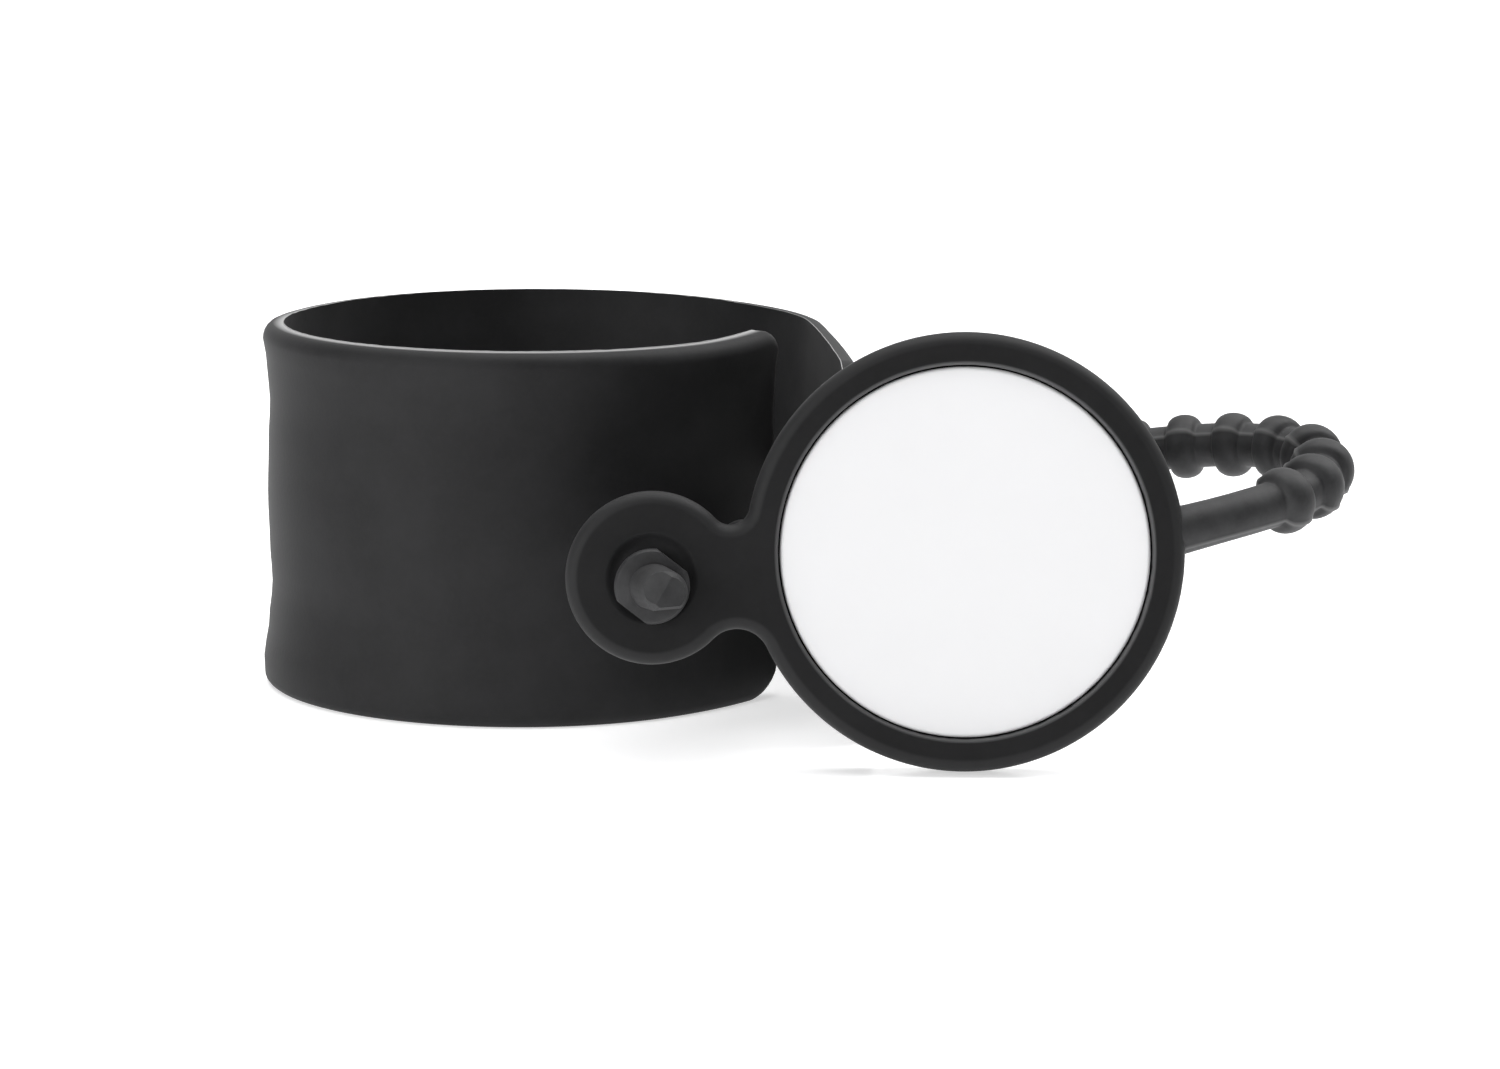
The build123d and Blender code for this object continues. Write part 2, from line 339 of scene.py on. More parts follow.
@dataclass(frozen=True)
class Silicone:
    """Silicone rubber, compression moulded in a blasted tool: matt, faintly dusty, with a painted highlight
    on its edges.
    """

    name: str
    body: str
    dust: str
    highlight_and_pale_tone: str
    roughness: float = 0.56
    specular: float = 0.45
    patch: float = 9.0
    grain: float = 0.45
    grain_depth: float = 0.022

    def make(self) -> Material:
        """Build the node tree.

        Returns:
            The material, which reads object coordinates only.
        """
        material, tree = start_material(self.name)
        place = add_node(tree, "ShaderNodeTexCoord").outputs["Object"]
        # Handling leaves a thin uneven bloom in soft patches.
        patches = cloud(tree, place, self.patch * MM, 4.0, 0.6)
        bloom = spread(tree, patches, 0.0, 0.85, start=0.38, end=0.72)
        tone = blend_colours(tree, bloom, linear(self.body), linear(self.dust))
        # The blasted tool leaves a grain of about a tenth of a millimetre, drawn coarser to show.
        grain = cloud(tree, place, self.grain * MM)
        specks = spread(tree, grain, 0.0, 0.22, start=0.45, end=0.8)
        grained = blend_colours(tree, specks, tone, linear(self.dust))
        # Painted highlight: rims, lips and parting lines are blended towards the pale colour, and the tie's
        # stub is painted paler.
        edge = add_node(tree, "ShaderNodeAttribute", attribute_name=PALENESS_AND_HIGHLIGHT).outputs["Fac"]
        colour = blend_colours(tree, edge, grained, linear(self.highlight_and_pale_tone))
        gloss = spread(tree, patches, self.roughness - 0.05, self.roughness + 0.08)
        end_material(tree, colour, gloss, grain, 0.5, self.grain_depth, {
            "IOR": 1.41, "Specular IOR Level": self.specular, "Sheen Weight": 0.03, "Sheen Roughness": 0.5})
        return material


@dataclass(frozen=True)
class MouldedPlastic:
    """Hard moulded ABS: even colour, a slight orange peel, gloss that varies a little."""

    name: str
    body: str
    shade: str
    roughness: float
    peel: float
    peel_depth: float
    patch: float = 12.0

    def make(self) -> Material:
        """Build the node tree.

        Returns:
            The material, which reads object coordinates only.
        """
        material, tree = start_material(self.name)
        place = add_node(tree, "ShaderNodeTexCoord").outputs["Object"]
        clouds = cloud(tree, place, self.patch * MM)
        colour = blend_colours(tree, clouds, linear(self.body), linear(self.shade))
        gloss = spread(tree, clouds, self.roughness - 0.04, self.roughness + 0.05)
        peel = cloud(tree, place, self.peel * MM, 1.0)
        end_material(tree, colour, gloss, peel, 0.35, self.peel_depth, {"IOR": 1.53})
        return material


@dataclass(frozen=True)
class Plate:
    """Rolled or plated metal: fine lines along the rolling direction and a mottled gloss."""

    name: str
    body: str
    shade: str
    roughness: float
    line: float
    line_depth: float = 0.01
    stretch: tuple[float, float, float] = (1.0, 1.0, 1.0)

    def make(self) -> Material:
        """Build the node tree.

        Returns:
            The material, which reads object coordinates only.
        """
        material, tree = start_material(self.name)
        place = add_node(tree, "ShaderNodeMapping", {
            "Vector": add_node(tree, "ShaderNodeTexCoord").outputs["Object"], "Scale": self.stretch})
        lines = cloud(tree, place.outputs["Vector"], self.line * MM, 3.0)
        colour = blend_colours(tree, lines, linear(self.body), linear(self.shade))
        gloss = spread(tree, lines, self.roughness - 0.08, self.roughness + 0.1)
        end_material(tree, colour, gloss, lines, 0.3, self.line_depth, {"Metallic": 1.0})
        return material


BAND_RUBBER = Silicone("moulded silicone, band", body="#19191A", dust="#242425", highlight_and_pale_tone="#A6A6A6",
                       roughness=0.6, specular=0.3)
HOLDER_RUBBER = Silicone("moulded silicone, holder", body="#0E0E0F", dust="#161617", highlight_and_pale_tone="#8A8A8B",
                          specular=0.3, patch=7.0)
TIE_RUBBER = Silicone("moulded silicone, tie", body="#1F1F20", dust="#343435", highlight_and_pale_tone="#5C5C5C", patch=4.0)
WHITE_PLATE = MouldedPlastic("satin white ABS", "#E6E6E7", "#E2E2E3", roughness=0.42, peel=1.2,
                             peel_depth=0.004)
DARK_CUP = MouldedPlastic("spark-textured dark ABS", "#2B2B2C", "#232324", roughness=0.58, peel=0.5,
                          peel_depth=0.03)
SPRING_STEEL = Plate("rolled spring steel", "#B4B7BB", "#8F9296", roughness=0.3, line=0.4,
                     stretch=(1.0, 1.0, 8.0))
ZINC_STEEL = Plate("zinc-plated sheet steel", "#BDBFC2", "#9EA1A6", roughness=0.36, line=0.8)
NICKEL = Plate("nickel plate", "#CBC8BE", "#B3B0A8", roughness=0.2, line=1.5)


# Slap band -------------------------------------------------

@dataclass
class SlapBand:
    """The coil and its straight free end, one wall of rubber that bulges over the strip."""

    height: float = 38.3
    thickness: float = 2.2
    front_radius: float = 26.1
    back_radius: float = 27.9
    inner_end_angle: float = -17.0
    change_angle: float = 160.0
    straight_angle: float = 6.0
    free_length: float = 36.6
    split_angle: float = 40.0
    corner_radius: float = 5.0
    inner_top_corner: float = 2.6
    end_lift: float = 0.75
    lift_length: float = 14.0
    back_lift: float = 0.35
    tip_twist: float = 1.6
    change_before: float = 10.0     # the twist and the thinning begin here, before the coil's end
    twist_extra: float = 4.0        # the twist's stretch is longer than the free end by this
    bow: float = 1.8                # how far the wall swings out beside the pin plate
    bow_before: float = 20.0        # the bow begins here, before the coil's end
    bow_length: float = 22.0        # length over which it swings out
    bow_hold: float = 8.0           # it begins to come back here, beyond the coil's end
    bow_return: float = 0.45        # share of the bow that is gone at the tip
    spring: float = 1.5             # how far the covered end springs out of the round
    spring_length: float = 16.0
    free_thinning: float = 0.15
    thinning_length: float = 15.0
    waver: float = 0.05
    flash_width: float = 0.07
    rim_round: float = 1.6
    rim_squash: float = 0.8         # the rim's round is narrower than it is high
    foot_round: float = 1.0
    foot_gap: float = 0.02
    flash_height: float = 0.13
    flash_mean: float = 0.62        # share of that height where the flash is neither torn nor proud
    flash_fade: float = 6.0         # length over which the flash dies out towards an end
    nose_length: float = 1.1        # length over which an end thins to its rounded nose
    nose_share: float = 0.03        # share of the thickness left at the very end
    nose_rings: tuple[float, ...] = (0.04, 0.12, 0.25, 0.42, 0.8)
    inner_follow: float = 0.45      # how much of the outer face's bulge the inner face follows
    step: float = 0.55
    wall_steps: int = 22
    slot_distance: float = 15.4
    slot_length: float = 14.0
    slot_height: float = 10.0
    slot_softening: float = 0.3
    strip_width: float = 19.0
    strip_thickness: float = 0.3
    strip_margin: float = 4.0       # rubber left beyond the strip at the covered end
    free_strip_length: float = 7.5
    flex_before: float = 4.5
    flex_after: float = 6.0
    crease_angle: float = 40.0
    # How far the outer face stands from its nominal place, by height: proud at both rims and over
    # the strip, hollow between them.
    bulge: tuple[tuple[float, float], ...] = (
        (0.0, 0.15), (2.5, 0.25), (6.5, -0.3), (10.5, -0.68), (15.0, -0.45), (20.0, -0.3),
        (25.5, -0.42), (30.0, -0.62), (33.8, -0.35), (37.2, 0.1), (38.3, 0.1))

    def lengths(self) -> tuple[float, float]:
        """Measure the coil along the middle of its wall.

        Returns:
            The length of the front arc, and of the front and back arcs together.
        """
        front = self.front_radius * math.radians(360 - self.change_angle + self.inner_end_angle)
        back = self.back_radius * math.radians(self.change_angle - self.straight_angle)
        return front, front + back

    def station(self, along: float) -> tuple[Vector, Vector]:
        """Find a place on the middle of the wall.

        Args:
            along: distance from the inner end.

        Returns:
            The place and the outward direction, both level.
        """
        front, coil = self.lengths()
        change = math.radians(self.change_angle)
        shift = self.front_radius - self.back_radius
        back_centre = Vector((shift * math.cos(change), shift * math.sin(change), 0))
        if along < front:
            turn = math.radians(self.inner_end_angle) - along / self.front_radius
            out = Vector((math.cos(turn), math.sin(turn), 0))
            return out * self.front_radius, out
        if along < coil:
            turn = change - (along - front) / self.back_radius
            out = Vector((math.cos(turn), math.sin(turn), 0))
            return back_centre + out * self.back_radius, out
        turn = math.radians(self.straight_angle)
        out = Vector((math.cos(turn), math.sin(turn), 0))
        run = Vector((math.sin(turn), -math.cos(turn), 0))
        return back_centre + out * self.back_radius + run * (along - coil), out

    def stand(self, height: float, along: float) -> float:
        """Find how far the outer face stands proud, with a slow waver along the band.

        Args:
            height: above the floor.
            along: distance from the inner end.

        Returns:
            The outward shift of the face.
        """
        share = 0.0
        for (low, before), (high, after) in zip(self.bulge, self.bulge[1:]):
            if low <= height <= high:
                share = before + (after - before) * smooth((height - low) / (high - low))
        return share + self.waver * noise.noise(Vector((along / 18, height / 14, 3.7)))

    def corner_cut(self, radius: float, end: float) -> float:
        """Find how much a rounded corner takes off the height, at a distance from the band's end."""
        inside = max(0.0, radius - end)
        return radius - math.sqrt(max(0.0, radius ** 2 - inside ** 2))

    def lift(self, along: float) -> float:
        """Find how far the upper rim rises above level: at the covered end, and along the back.

        Args:
            along: distance from the inner end.

        Returns:
            The rise.
        """
        front, coil = self.lengths()
        near_end = max(0.0, 1 - along / self.lift_length)
        behind = max(0.0, math.sin(math.pi * min(1.0, max(0.0, (along - front) / (coil - front)))))
        return self.end_lift * near_end ** 2 + self.back_lift * behind

    def lean(self, along: float, height: float) -> float:
        """Find how far the wall stands out of its path: sprung at the covered end, bowed beyond the coil.

        Args:
            along: distance from the inner end.
            height: above the floor.

        Returns:
            The outward shift.
        """
        coil = self.lengths()[1]
        twisting = (along - coil + self.change_before) / (self.free_length + self.twist_extra)
        share = max(0.0, min(1.0, twisting))
        twist = self.tip_twist * share * (1 - height / self.height)
        opening = smooth((along - coil + self.bow_before) / self.bow_length)
        closing = max(0.0, (along - coil - self.bow_hold) / (self.free_length - self.bow_hold))
        sprung = self.spring * max(0.0, 1 - along / self.spring_length) ** 2
        return sprung + twist + self.bow * (opening - self.bow_return * closing ** 1.5)

    def section(self, along: float, total: float) -> list[tuple[float, float]]:
        """Draw the wall's section at one place along the band.

        Args:
            along: distance from the inner end.
            total: the band's whole length.

        Returns:
            Points as (outward, up), once round the section.
        """
        end = min(along, total - along)
        top_radius = self.inner_top_corner if along < total / 2 else self.corner_radius
        low_cut, top_cut = self.corner_cut(self.corner_radius, end), self.corner_cut(top_radius, end)
        nose = max(0.0, self.nose_length - end) / self.nose_length
        thin = max(self.nose_share, math.sqrt(max(0.0, 1 - nose * nose)))
        low = low_cut + self.foot_gap
        high = self.height - top_cut - self.flash_height + self.lift(along)
        ragged = (noise.noise(Vector((along / 1.3, 0.0, 9.1)))
                  + 0.6 * noise.noise(Vector((along / 5.0, 4.0, 0.0))))
        fading = min(1.0, end / self.flash_fade)
        uneven = self.flash_mean + (1 - self.flash_mean) * max(-1.0, min(1.0, ragged))
        ridge = self.flash_height * uneven * fading
        coil = self.lengths()[1]
        thinning = max(0.0, min(1.0, (along - coil + self.change_before) / self.thinning_length))
        half = self.thickness / 2 - self.free_thinning * thinning
        shares = [number / self.wall_steps for number in range(self.wall_steps + 1)]
        inner = [(-half + self.inner_follow * self.stand(z, along), z)
                 for z in (low + (high - low) * share for share in shares)]
        wall_top, wall_low = high - self.rim_round, low + self.foot_round
        outer = [(half + self.stand(z, along), z)
                 for z in (wall_top + (wall_low - wall_top) * share for share in shares)]
        edge_in, wide = inner[-1][0], self.flash_width
        crest = [(edge_in + 0.03 * ragged, high + ridge), (edge_in + wide, high + ridge * 0.8),
                 (edge_in + wide * 1.5, high - 0.02)]
        angles = (80, 62, 44, 28, 13)
        rim = [(outer[0][0] - self.rim_squash * inset, high - drop)
               for inset, drop in quarter(self.rim_round, angles)]
        foot = [(outer[-1][0] - inset, low + drop) for inset, drop in quarter(self.foot_round, angles[::-1])]
        loop = inner + crest + rim + outer + foot + [(inner[0][0] + 0.25, low)]
        return [(across * thin, up) for across, up in loop]

    def ring(self, along: float, section: list[tuple[float, float]]) -> list[Vector]:
        """Stand a section, given as (outward, up), in its place along the band."""
        centre, out = self.station(along)
        return [(centre + out * (across + self.lean(along, up)) + Vector((0, 0, up))) * MM
                for across, up in section]

    def skin(self, name: str, start: float, end: float) -> Object:
        """Skin one stretch of the band.

        Args:
            name: the piece's name.
            start: where the stretch begins, from the inner end.
            end: where it stops.

        Returns:
            A closed mesh.
        """
        total = self.lengths()[1] + self.free_length
        count = round((end - start) / self.step)
        places = {start + (end - start) * number / count for number in range(count + 1)}
        for closed, way in ((0.0, 1), (total, -1)):
            if abs(closed - (start if way == 1 else end)) < 1e-6:
                places |= {closed + way * near for near in self.nose_rings}
        rings = [self.ring(along, self.section(along, total)) for along in sorted(places)]
        piece = loft(name, rings)
        # Painted highlight: the crest points on the rim's flash ridge get the full pale colour.
        paleness_and_highlight = piece.data.attributes.new(PALENESS_AND_HIGHLIGHT, "FLOAT", "POINT")
        for number in range(len(rings)):
            crest = number * len(rings[0]) + self.wall_steps + 1
            for corner in (crest, crest + 1):
                paleness_and_highlight.data[corner].value = 1.0
        return piece

    def strip(self, name: str, start: float, end: float) -> Object:
        """Make one stretch of the spring strip, in the middle of the wall.

        Args:
            name: the piece's name.
            start: where the stretch begins, from the inner end.
            end: where it stops.

        Returns:
            A closed mesh.
        """
        count = round((end - start) / (2 * self.step))
        low, high = (self.height - self.strip_width) / 2, (self.height + self.strip_width) / 2
        half = self.strip_thickness / 2
        edge = half * 0.6
        section = [(-half, low + edge), (-half, high - edge), (-edge, high), (edge, high),
                   (half, high - edge), (half, low + edge), (edge, low), (-edge, low)]
        rings = [self.ring(start + (end - start) * number / count, section) for number in range(count + 1)]
        return loft(name, rings)

    def slot_tool(self) -> Object:
        """Make the cutter of the oval slot, flared at both faces so that its edges are soft.

        Returns:
            A closed mesh, which combine removes.
        """
        along = self.lengths()[1] + self.slot_distance
        centre, out = self.station(along)
        centre += out * self.lean(along, self.height / 2)
        run = Vector((out.y, -out.x, 0))
        centre.z = self.height / 2
        flat = (self.slot_length - self.slot_height) / 2
        rings = []
        for depth, grow in ((-2.3, 1.4), (-0.9, 0.0), (0.4, 0.0), (1.9, 1.4)):
            radius = self.slot_height / 2 + grow * self.slot_softening * 2.2
            ring = []
            for number in range(64):
                turn = 2 * math.pi * (number + 0.5) / 64
                side = math.copysign(flat, math.cos(turn))
                flat_place = run * (side + radius * math.cos(turn)) + Vector((0, 0, radius * math.sin(turn)))
                ring.append((centre + out * depth + flat_place) * MM)
            rings.append(ring)
        return loft("slot tool", rings)

    def make(self, frame: dict) -> None:
        """Build the wall and the strip in it, each in two stretches; hang the coiled stretches on the band's
        body and leave the free stretches in place, on no body.

        Args:
            frame: not used.
        """
        rubber = BAND_RUBBER.make()
        coil = self.lengths()[1]
        split = coil - self.back_radius * math.radians(self.split_angle - self.straight_angle)
        coiled = self.skin("band_coil", 0.0, split)
        free = self.skin("band_free_end", split, coil + self.free_length)
        combine(free, self.slot_tool(), Cut.TAKE_AWAY)
        strip_coil = self.strip("strip_coil", self.strip_margin, split)
        strip_free = self.strip("strip_free_end", split, coil + self.free_strip_length)
        steel = SPRING_STEEL.make()
        for piece, node, finish, slot in (
                (coiled, "band_sleeve", rubber, "band_rubber"),
                (free, "free_end_sleeve", rubber, "band_rubber"),
                (strip_coil, "spring_strip", steel, "spring_steel"),
                (strip_free, "free_end_strip", steel, "spring_steel")):
            shade(piece, self.crease_angle)
            dress(piece, finish)
            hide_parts(node)
            log.info("%s: %d faces", piece.name, len(piece.data.polygons))
        for piece in (coiled, strip_coil):
            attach(piece, "band")
        for piece in (free, strip_free):
            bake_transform(piece)


# Holder moulding -------------------------------------------

@dataclass
class Holder:
    """The ring and its eyelet, one slab with a rounded rim, leaning back on the ring's foot."""

    centre: tuple[float, float, float] = (45.1, -45.0, 21.65)
    lean: float = 8.0
    slope: float = 5.2
    radius: float = 21.3
    bore: float = 18.1
    back_bore: float = 15.0
    thickness: float = 5.0
    seat: float = -2.05
    slab: float = 3.0
    rim: float = 1.3
    back_rim: float = 1.0
    lip: float = 0.4
    eyelet_distance: float = 30.4
    eyelet_radius: float = 8.4
    hole_radius: float = 2.6
    dish: float = 0.7
    upper_hollow: float = 1.9
    lower_hollow: float = 3.2
    parting_step: float = 0.04
    # Painted highlights on the bore's lip and on the rounded rim, as shares of the pale colour.
    lip_highlight: float = 0.25
    rim_highlight: float = 0.03
    crease_angle: float = 28.0

    def place(self, across: float, up: float, out: float) -> Vector:
        """Turn a point of the ring's plane into metres in the shared frame.

        Args:
            across: towards the tie.
            up: up the leaning face.
            out: out of the face.

        Returns:
            The point.
        """
        lean, slope = math.radians(self.lean), math.radians(self.slope)
        rise = Vector((0, math.sin(lean), math.cos(lean)))
        right = Vector((1, 0, 0)) * math.cos(slope) + rise * math.sin(slope)
        face = Vector((0, -math.cos(lean), math.sin(lean)))
        return (Vector(self.centre) + right * across + face.cross(right) * up + face * out) * MM

    def lathe(self, name: str, profile: list[tuple[float, float]], across: float = 0.0,
              count: int = 192) -> Object:
        """Turn a profile about an axis out of the ring's face.

        Args:
            name: the piece's name.
            profile: (radius, height out of the face), from one end to the other.
            across: where the axis stands, towards the tie.
            count: how many sides the round has.

        Returns:
            A closed mesh.
        """
        turns = [2 * math.pi * number / count for number in range(count)]
        return loft(name, [
            [self.place(across + radius * math.cos(turn), radius * math.sin(turn), height) for turn in turns]
            for radius, height in profile])

    def hollow(self, radius: float, side: int) -> tuple[float, float]:
        """Find the centre of a hollow that touches both the ring and the eyelet.

        Args:
            radius: of the hollow.
            side: 1 above the neck, -1 below it.

        Returns:
            The flat point.
        """
        to_eyelet, to_ring = self.eyelet_radius + radius, self.radius + radius
        x = (to_eyelet ** 2 - to_ring ** 2 - self.eyelet_distance ** 2) / (2 * self.eyelet_distance)
        return x, side * math.sqrt(to_ring ** 2 - x ** 2)

    def outline(self, inset: float) -> list[tuple[float, float]]:
        """Walk once round the ring, its neck and the eyelet.

        Args:
            inset: how far inside the full outline the walk stays.

        Returns:
            Flat points, always as many and in the same order.
        """
        eyelet = (-self.eyelet_distance, 0.0)
        upper, lower = self.hollow(self.upper_hollow, 1), self.hollow(self.lower_hollow, -1)

        def heading(start: tuple[float, float], end: tuple[float, float]) -> float:
            """Give the direction of one flat point from another, in radians."""
            return math.atan2(end[1] - start[1], end[0] - start[0])

        whole = 2 * math.pi
        arcs = (
            ((0.0, 0.0), self.radius - inset, heading((0, 0), lower), heading((0, 0), upper), 260),
            (upper, self.upper_hollow + inset, heading(upper, (0, 0)), heading(upper, eyelet), 22),
            (eyelet, self.eyelet_radius - inset, heading(eyelet, upper), heading(eyelet, lower) + whole, 96),
            (lower, self.lower_hollow + inset, heading(lower, eyelet), heading(lower, (0, 0)), 22),
        )
        walk = []
        for (x, y), radius, start, end, count in arcs:
            for number in range(count):
                turn = start + (end - start) * number / count
                walk.append((x + radius * math.cos(turn), y + radius * math.sin(turn)))
        return walk

    def make_ring(self) -> Object:
        """Build the slab with its rounded rim, add the ring's depth, and bore it.

        Returns:
            The ring moulding.
        """
        steps = [(0.35, -self.slab), (0.1, -self.slab + 0.1), (0.0, -self.slab + 0.35), (0.0, -self.rim)]
        steps += [(inset, -drop) for inset, drop in quarter(self.rim, (13, 26, 39, 52, 65, 78, 90))]
        slab = loft("holder_moulding", [
            [self.place(x, y, out) for x, y in self.outline(inset)] for inset, out in steps])
        deep = self.radius - self.parting_step
        round_back = [(deep - inset, drop - self.thickness)
                      for inset, drop in quarter(self.back_rim, (90, 72, 54, 36, 18, 0))]
        combine(slab, self.lathe("back", round_back + [(deep, -self.slab / 2)]), Cut.JOIN)
        lip = self.lip
        combine(slab, self.lathe("bore", [
            (self.bore, self.seat), (self.bore, -lip), (self.bore + lip * 0.12, -lip * 0.6),
            (self.bore + lip * 0.45, -lip * 0.2), (self.bore + lip, 0.0), (self.bore + lip * 3, 0.3),
        ]), Cut.TAKE_AWAY)
        combine(slab, self.lathe("back bore", [
            (self.back_bore + 0.6, -self.thickness - 0.3), (self.back_bore, -self.thickness + 0.3),
            (self.back_bore, self.seat + 0.3)]), Cut.TAKE_AWAY)
        combine(slab, self.lathe("eyelet dish", [
            (3.3, -self.dish), (3.75, -0.85 * self.dish), (4.05, -0.5 * self.dish), (4.3, -0.15 * self.dish),
            (4.6, 0.02)], -self.eyelet_distance, 96), Cut.TAKE_AWAY)
        combine(slab, self.lathe("eyelet hole", [
            (self.hole_radius + 0.5, -self.slab - 0.2), (self.hole_radius, -self.slab + 0.3),
            (self.hole_radius, 0.2)], -self.eyelet_distance, 64), Cut.TAKE_AWAY)
        self.paint_edge_highlights(slab)
        return slab

    def paint_edge_highlights(self, slab: Object) -> None:
        """Paint a highlight on the points of the lip and of the rounded rim.

        Args:
            slab: the finished ring moulding.
        """
        paleness_and_highlight = slab.data.attributes.new(PALENESS_AND_HIGHLIGHT, "FLOAT", "POINT")
        origin = self.place(0, 0, 0)
        right, up, out = (self.place(*axis) - origin for axis in ((1, 0, 0), (0, 1, 0), (0, 0, 1)))
        for number, corner in enumerate(slab.data.vertices):
            spot = (corner.co - origin) / MM
            height = spot.dot(out) / MM
            reach = math.hypot(spot.dot(right), spot.dot(up)) / MM
            if -self.lip < height < -0.04 and reach < self.bore + self.lip * 0.9:
                paleness_and_highlight.data[number].value = self.lip_highlight
            elif -self.rim < height < -0.02 and reach > self.radius - self.rim:
                paleness_and_highlight.data[number].value = self.rim_highlight

    def make(self) -> None:
        """Build the ring moulding, dress it and hang it on its body."""
        ring = self.make_ring()
        shade(ring, self.crease_angle, weighted=True)
        dress(ring, HOLDER_RUBBER.make())
        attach(ring, "holder")
        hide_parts("holder_ring")
        log.info("%s: %d faces", ring.name, len(ring.data.polygons))


# Beaded tie ------------------------------------------------

@dataclass
class BeadedTie:
    """The tie: round rubber with beads at an even pitch, through the slot and the eyelet.

    The route's middle is given as points in the shared frame, in millimetres.
    """

    holder: Holder
    radius: float = 2.25
    bead_radius: float = 3.3
    pitch: float = 5.2
    first_bead: float = 14.0
    last_gap: float = 5.0
    root_flare: float = 0.2
    root_length: float = 8.0
    ridge: float = 0.05
    step: float = 0.12
    root_inset: float = 2.3
    root_depth: float = 2.6
    stopper_radius: float = 3.65
    stopper_gap: float = 0.1
    stopper_width: float = 1.8
    stopper_flat: float = 3.15      # how far its flat sides are from its axis
    tip_length: float = 5.9
    tip_radius: float = 2.3
    tip_flat: float = 0.78          # where its underside is flat, as a share of the radius
    tip_turn: float = 17.0
    tip_rise: float = -6.0
    tip_drop: float = 0.75
    tip_paleness: float = 0.4
    behind_eyelet: float = 12.0
    middle: tuple[tuple[float, float, float], ...] = (
        (71.6, -41.2, 24.8), (80.3, -34.2, 26.4), (82.2, -23.4, 28.2), (74.6, -15.4, 28.3),
        (61.0, -11.3, 26.3), (46.5, -8.3, 23.2), (35.2, -10.6, 20.0), (26.6, -20.0, 17.9),
        (18.6, -28.6, 17.3))
    # A bead's outline: how far it swells, by the share of half a pitch away from its middle.
    bead_outline: tuple[tuple[float, float], ...] = (
        (0.1, 0.985), (0.2, 0.945), (0.3, 0.875), (0.4, 0.765), (0.48, 0.62), (0.54, 0.44), (0.585, 0.22),
        (0.62, 0.05), (0.68, 0.0))
    sides: int = 48
    ridge_side: int = 5             # which side of each half round carries the parting line
    run_crease: float = 60.0
    tip_crease: float = 26.0

    def route(self) -> list[Vector]:
        """Give the route's points.

        Returns:
            Points in metres, from inside the ring's wall to the eyelet's face.
        """
        hold = self.holder
        return [hold.place(hold.radius - self.root_inset, 0, -self.root_depth),
                *(Vector(point) * MM for point in self.middle),
                hold.place(-hold.eyelet_distance, 0, -self.behind_eyelet),
                hold.place(-hold.eyelet_distance, 0, self.stopper_gap + 0.3)]

    def route_curve(self) -> Object:
        """Lay one smooth spline along the route.

        Returns:
            The curve object.
        """
        curve = bpy.data.curves.new("tie route", "CURVE")
        curve.dimensions = "3D"
        curve.resolution_u = 24
        spline = curve.splines.new("NURBS")
        points = self.route()
        spline.points.add(len(points) - 1)
        for point, place in zip(spline.points, points):
            point.co = (*place, 1.0)
        spline.order_u = 3
        spline.use_endpoint_u = True
        return place_object("tie route", curve)

    def tree(self, rubber: Material) -> tuple[NodeTree, dict[str, float]]:
        """Build the tree that swells a line into beaded rubber.

        Args:
            rubber: the material that the tree sets.

        Returns:
            The tree and its sizes by name, in metres.
        """
        tree = bpy.data.node_groups.new("beaded rubber", "GeometryNodeTree")
        tree.interface.new_socket("Line", in_out="INPUT", socket_type="NodeSocketGeometry")
        sizes = {
            "Radius": self.radius * MM, "Bead Radius": self.bead_radius * MM, "Pitch": self.pitch * MM,
            "First Bead": self.first_bead * MM, "Last Gap": self.last_gap * MM,
            "Step": self.step * MM, "Root Flare": self.root_flare * MM,
            "Root Length": self.root_length * MM, "Ridge": self.ridge,
        }
        for name in sizes:
            tree.interface.new_socket(name, in_out="INPUT", socket_type="NodeSocketFloat")
        tree.interface.new_socket("Mesh", in_out="OUTPUT", socket_type="NodeSocketGeometry")
        given = add_node(tree, "NodeGroupInput").outputs

        def math_node(operation: str, *values: float | NodeSocket) -> NodeSocket:
            """Add one sum of values or sockets, and give its result."""
            return add_node(tree, "ShaderNodeMath", dict(enumerate(values)), operation=operation).outputs[0]

        line = add_node(tree, "GeometryNodeResampleCurve", {
            "Curve": given["Line"], "Length": given["Step"]}, mode="LENGTH").outputs["Curve"]
        along = add_node(tree, "GeometryNodeSplineParameter").outputs["Length"]
        whole = add_node(tree, "GeometryNodeCurveLength", {"Curve": line}).outputs["Length"]
        # The nearest bead, from the first to the last that fits
        room = math_node("SUBTRACT", math_node("SUBTRACT", whole, given["First Bead"]), given["Last Gap"])
        last = math_node("FLOOR", math_node("DIVIDE", room, given["Pitch"]))
        reach = math_node("SUBTRACT", along, given["First Bead"])
        nearest = math_node("ROUND", math_node("DIVIDE", reach, given["Pitch"]))
        bead = math_node("MINIMUM", math_node("MAXIMUM", nearest, 0.0), last)
        middle = math_node("MULTIPLY", bead, given["Pitch"])
        gap = math_node("ABSOLUTE", math_node("SUBTRACT", reach, middle))
        half_pitch = math_node("MULTIPLY", given["Pitch"], 0.5)
